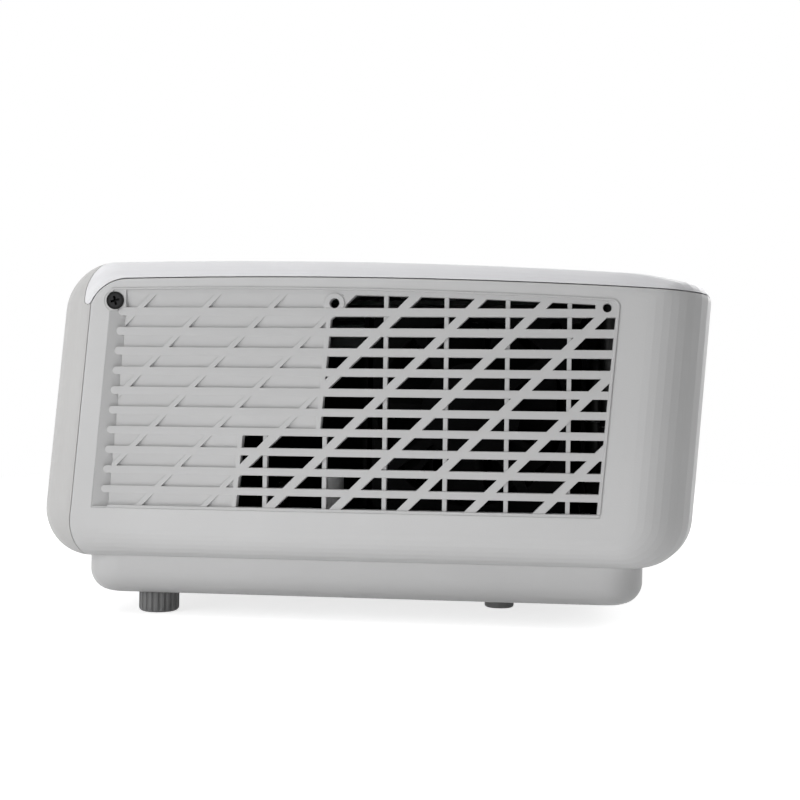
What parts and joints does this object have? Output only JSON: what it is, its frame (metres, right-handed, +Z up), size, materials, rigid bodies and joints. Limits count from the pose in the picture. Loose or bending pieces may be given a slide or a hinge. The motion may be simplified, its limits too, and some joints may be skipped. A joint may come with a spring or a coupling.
{
  "type": "projector with built-in disc player",
  "caption": "Portable video projector with a leaning white case, louvred side vent, recessed lens and a slim disc tray that slides out of one side.",
  "frame": {"origin": "on the floor under the centre of the casing", "axes": "+Z up, -Y the way the lens looks, +X the vent grille side, -X the disc tray side"},
  "size_m": [0.25, 0.204, 0.1095],
  "materials": {
    "white_shell": "fine satin moulded plastic, light grey white",
    "white_cover": "satin white moulded plastic",
    "grey_bezel": "satin light grey moulded plastic",
    "black_screw": "black oxide steel",
    "zinc_screw": "zinc plated steel",
    "black_plastic": "black moulded plastic",
    "trim_black": "gloss black plastic",
    "lens_glass": "coated optical glass",
    "dark_glass": "dark infrared window",
    "mirror": "front silvered mirror",
    "lcd": "liquid crystal panel",
    "board_green": "solder mask",
    "lamp": "aluminium cored lamp board",
    "heat_sink": "extruded aluminium",
    "steel": "bright rolled steel",
    "tray_grey": "dark grey moulded plastic",
    "key_grey": "satin grey plastic",
    "foot_grey": "dark grey moulded plastic and rubber",
    "brass": "turned brass",
    "cone": "speaker cone and basket"
  },
  "bodies": {
    "housing": {"lower_housing": "white_shell", "top_cover": "white_cover", "front_bezel": "grey_bezel", "side_grille": "white_shell", "grille_screw": "black_screw", "base_screws": "zinc_screw", "ir_window": "dark_glass", "lens_trim": "trim_black", "lens_sleeve": "black_plastic", "engine_case": "black_plastic", "engine_lid": "black_plastic", "fold_mirror": "mirror", "lcd_frame": "black_plastic", "lcd_panel": "lcd", "condenser_lens": "lens_glass", "lamp_module": "lamp", "heat_sink": "heat_sink", "fan_frame": "black_plastic", "main_board": "board_green", "hdmi_sockets": "steel", "usb_socket": "steel", "jack_sockets": "black_plastic", "rear_panel": "black_plastic", "ac_inlet": "black_plastic", "power_board": "board_green", "front_speaker": "cone", "rear_speaker": "cone", "drive_pan": "steel", "drive_lid": "steel", "key_board": "board_green", "rear_feet": "foot_grey", "stand_bush": "brass"},
    "tray": {"dvd_tray": "tray_grey", "tray_face": "white_shell", "spindle_motor": "steel", "sled_rods": "steel"},
    "rails": {"tray_rails": "steel"},
    "eject": {"eject_button": "key_grey"},
    "hub": {"disc_hub": "tray_grey"},
    "sled": {"pickup_sled": "black_plastic", "pickup_lens": "lens_glass"},
    "focus": {"focus_ring": "black_plastic"},
    "barrel": {"lens_barrel": "black_plastic", "front_lens": "lens_glass", "rear_lens": "lens_glass"},
    "rotor": {"fan_rotor": "black_plastic"},
    "ok_button": {"ok_key": "key_grey"},
    "rear_button": {"rear_key": "key_grey"},
    "left_button": {"left_key": "key_grey"},
    "front_button": {"front_key": "key_grey"},
    "right_button": {"right_key": "key_grey"},
    "power_button": {"power_key": "key_grey"},
    "source_button": {"source_key": "key_grey"},
    "menu_button": {"menu_key": "key_grey"},
    "left_stud": {"left_foot_stud": "zinc_screw"},
    "left_knob": {"left_foot_knob": "foot_grey"},
    "right_stud": {"right_foot_stud": "zinc_screw"},
    "right_knob": {"right_foot_knob": "foot_grey"}
  },
  "joints": [
    {"name": "tray_slide", "type": "slide", "parent": "housing", "child": "tray", "axis": [-1, 0, 0], "range_m": [0, 0.12]},
    {"name": "rail_slide", "type": "slide", "parent": "housing", "child": "rails", "axis": [-1, 0, 0], "range_m": [0, 0.06]},
    {"name": "eject_press", "type": "slide", "parent": "tray", "child": "eject", "axis": [1, 0, 0], "range_m": [0, 0.0008], "stiffness_N_per_m": 500},
    {"name": "disc_spin", "type": "hinge", "parent": "tray", "child": "hub", "pos_m": [-0.06, 0, 0.092], "axis": [0, 0, 1], "continuous": true},
    {"name": "sled_slide", "type": "slide", "parent": "tray", "child": "sled", "axis": [1, 0, 0], "range_m": [0, 0.0335]},
    {"name": "focus_turn", "type": "hinge", "parent": "housing", "child": "focus", "pos_m": [-0.04, -0.085, 0.0565], "axis": [0, 1, 0], "range_deg": [0, 240]},
    {"name": "barrel_slide", "type": "slide", "parent": "housing", "child": "barrel", "axis": [0, -1, 0], "range_m": [0, 0.006]},
    {"name": "fan_spin", "type": "hinge", "parent": "housing", "child": "rotor", "pos_m": [0.1, 0.03, 0.064], "axis": [1, 0, 0], "continuous": true},
    {"name": "ok_press", "type": "slide", "parent": "housing", "child": "ok_button", "axis": [0, 0, -1], "range_m": [0, 0.0008], "stiffness_N_per_m": 600},
    {"name": "rear_press", "type": "slide", "parent": "housing", "child": "rear_button", "axis": [0, 0, -1], "range_m": [0, 0.0008], "stiffness_N_per_m": 600},
    {"name": "left_press", "type": "slide", "parent": "housing", "child": "left_button", "axis": [0, 0, -1], "range_m": [0, 0.0008], "stiffness_N_per_m": 600},
    {"name": "front_press", "type": "slide", "parent": "housing", "child": "front_button", "axis": [0, 0, -1], "range_m": [0, 0.0008], "stiffness_N_per_m": 600},
    {"name": "right_press", "type": "slide", "parent": "housing", "child": "right_button", "axis": [0, 0, -1], "range_m": [0, 0.0008], "stiffness_N_per_m": 600},
    {"name": "power_press", "type": "slide", "parent": "housing", "child": "power_button", "axis": [0, 0, -1], "range_m": [0, 0.0008], "stiffness_N_per_m": 600},
    {"name": "source_press", "type": "slide", "parent": "housing", "child": "source_button", "axis": [0, 0, -1], "range_m": [0, 0.0008], "stiffness_N_per_m": 600},
    {"name": "menu_press", "type": "slide", "parent": "housing", "child": "menu_button", "axis": [0, 0, -1], "range_m": [0, 0.0008], "stiffness_N_per_m": 600},
    {"name": "left_foot_slide", "type": "slide", "parent": "housing", "child": "left_stud", "axis": [0, 0, -1], "range_m": [0, 0.01]},
    {"name": "left_foot_turn", "type": "hinge", "parent": "left_stud", "child": "left_knob", "pos_m": [-0.104, -0.0686, 0.005], "axis": [0, 0, 1], "range_deg": [0, 2400]},
    {"name": "right_foot_slide", "type": "slide", "parent": "housing", "child": "right_stud", "axis": [0, 0, -1], "range_m": [0, 0.01]},
    {"name": "right_foot_turn", "type": "hinge", "parent": "right_stud", "child": "right_knob", "pos_m": [0.104, -0.0686, 0.005], "axis": [0, 0, 1], "range_deg": [0, 2400]}
  ],
  "couplings": [
    {"joint": "rail_slide", "follows": "tray_slide", "ratio": 0.5},
    {"joint": "barrel_slide", "follows": "focus_turn", "m_per_rad": 0.0014324},
    {"joint": "left_foot_turn", "follows": "left_foot_slide", "rad_per_m": 4188.8},
    {"joint": "right_foot_turn", "follows": "right_foot_slide", "rad_per_m": 4188.8}
  ]
}
